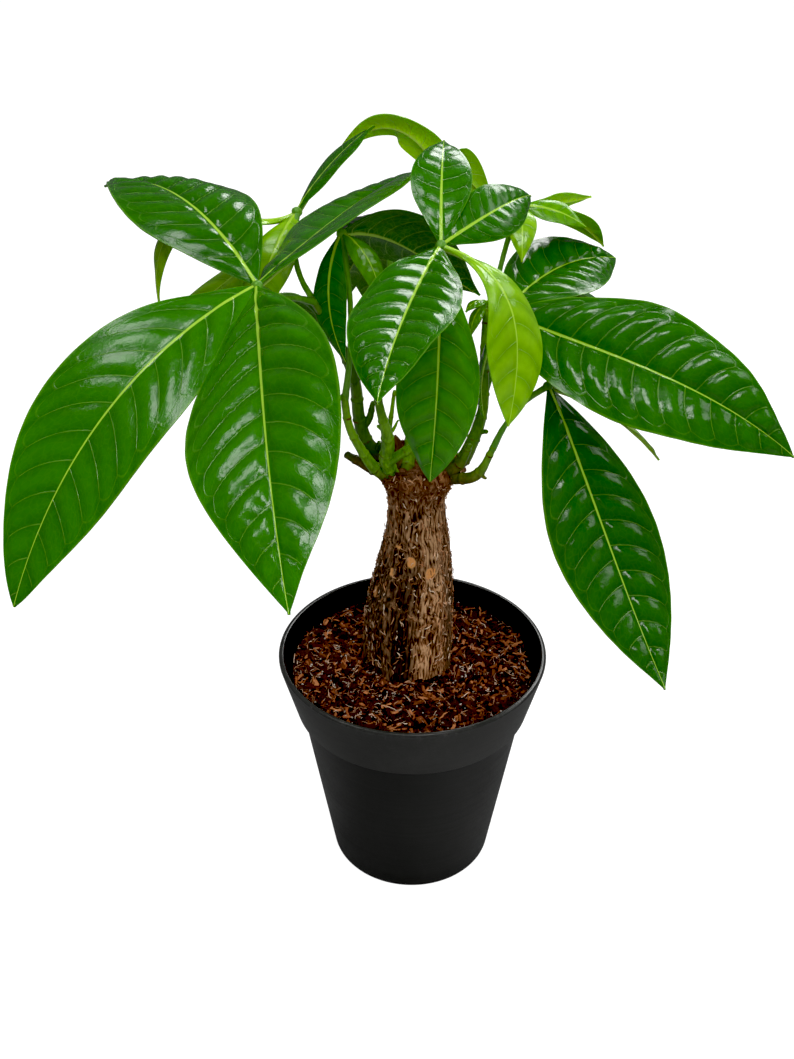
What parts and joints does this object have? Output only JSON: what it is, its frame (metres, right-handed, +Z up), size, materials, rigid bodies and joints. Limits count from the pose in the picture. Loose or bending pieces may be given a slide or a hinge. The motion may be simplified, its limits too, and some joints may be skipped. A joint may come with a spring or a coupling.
{
  "type": "potted money tree",
  "caption": "Young money tree with a swollen bark trunk and palmate glossy leaves, in a tapered black nursery pot of coir and bark soil.",
  "frame": {"origin": "middle of the pot's flat underside", "axes": "+Z up along the pot's axis, -Y towards the side that the picture shows, +X to its right"},
  "size_m": [0.2364, 0.2748, 0.2917],
  "materials": {
    "pot_plastic": "satin",
    "coir_soil": "matte",
    "bark": "matte",
    "dead_wood": "matte",
    "brown_stem": "satin",
    "green_stem": "satin",
    "dark_leaf": "gloss",
    "mid_leaf": "gloss",
    "light_leaf": "satin"
  },
  "bodies": {
    "root": {"pot": "pot_plastic", "soil": "coir_soil", "trunk": "bark", "dead_stub": "dead_wood", "shoot_left": "brown_stem", "shoot_left_front": "green_stem", "shoot_front": "green_stem", "shoot_back": "green_stem", "shoot_right": "green_stem", "shoot_right_front": "brown_stem", "shoot_right_low": "brown_stem", "frond_left": "dark_leaf", "frond_top_front": "dark_leaf", "frond_right": "dark_leaf", "frond_right_low": "dark_leaf", "frond_right_top": "light_leaf", "frond_top_back": "mid_leaf", "frond_left_inner": "mid_leaf", "frond_left_back": "light_leaf", "frond_left_low": "dark_leaf", "frond_back": "dark_leaf", "frond_right_back": "dark_leaf", "young_frond": "mid_leaf"}
  },
  "joints": []
}
